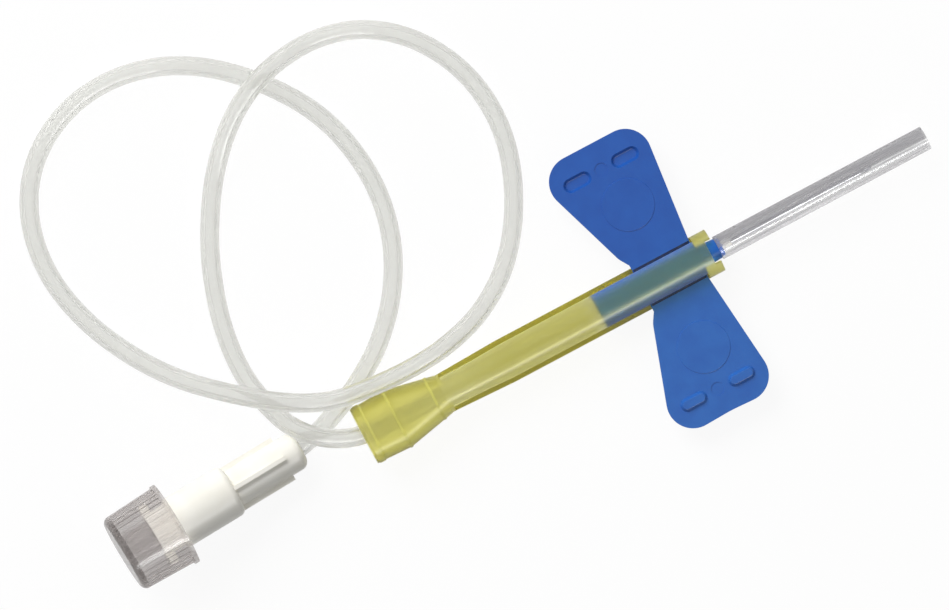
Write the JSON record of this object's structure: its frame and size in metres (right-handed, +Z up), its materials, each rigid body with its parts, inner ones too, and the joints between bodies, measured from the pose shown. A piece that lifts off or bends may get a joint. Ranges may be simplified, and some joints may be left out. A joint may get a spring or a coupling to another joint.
{
  "type": "blood collection needle",
  "caption": "Winged safety blood collection set: covered needle in a winged hub, slotted sliding shield, looped tubing and a capped female luer connector.",
  "frame": {"origin": "on the table, below the middle of the box round shield, hub, wings, needle and cover; the tubing with its connector and cap is left out", "axes": "+X along the needle towards its tip, +Y towards the left wing, +Z up"},
  "size_m": [0.1061, 0.0696, 0.0109],
  "materials": {
    "needle_steel": "polished",
    "adhesive": "glossy",
    "wing_blue": "satin",
    "shield_yellow": "translucent",
    "cover_clear": "clear",
    "tubing_clear": "clear, soft",
    "luer_white": "satin",
    "cap_clear": "clear"
  },
  "bodies": {
    "hub": {"wing_hub": "wing_blue", "needle_cannula": "needle_steel", "needle_adhesive": "adhesive", "tubing": "tubing_clear", "luer_connector": "luer_white"},
    "shield": {"safety_shield": "shield_yellow"},
    "cover": {"needle_cover": "cover_clear"},
    "left_wing": {"wing_left": "wing_blue"},
    "right_wing": {"wing_right": "wing_blue"},
    "cap": {"luer_cap": "cap_clear"}
  },
  "joints": [
    {"name": "shield_slide", "type": "slide", "parent": "hub", "child": "shield", "axis": [1, 0, 0], "range_m": [0, 0.0256]},
    {"name": "cover_pull", "type": "slide", "parent": "hub", "child": "cover", "axis": [1, 0, 0], "range_m": [0, 0.032]},
    {"name": "left_wing_fold", "type": "hinge", "parent": "hub", "child": "left_wing", "pos_m": [0, 0.0022, 0.0029], "axis": [1, 0, 0], "range_deg": [0, 80]},
    {"name": "right_wing_fold", "type": "hinge", "parent": "hub", "child": "right_wing", "pos_m": [0, -0.0022, 0.0029], "axis": [-1, 0, 0], "range_deg": [0, 80]},
    {"name": "cap_pull", "type": "slide", "parent": "hub", "child": "cap", "axis": [-0.9857, -0.0534, 0.1601], "range_m": [0, 0.012]}
  ]
}
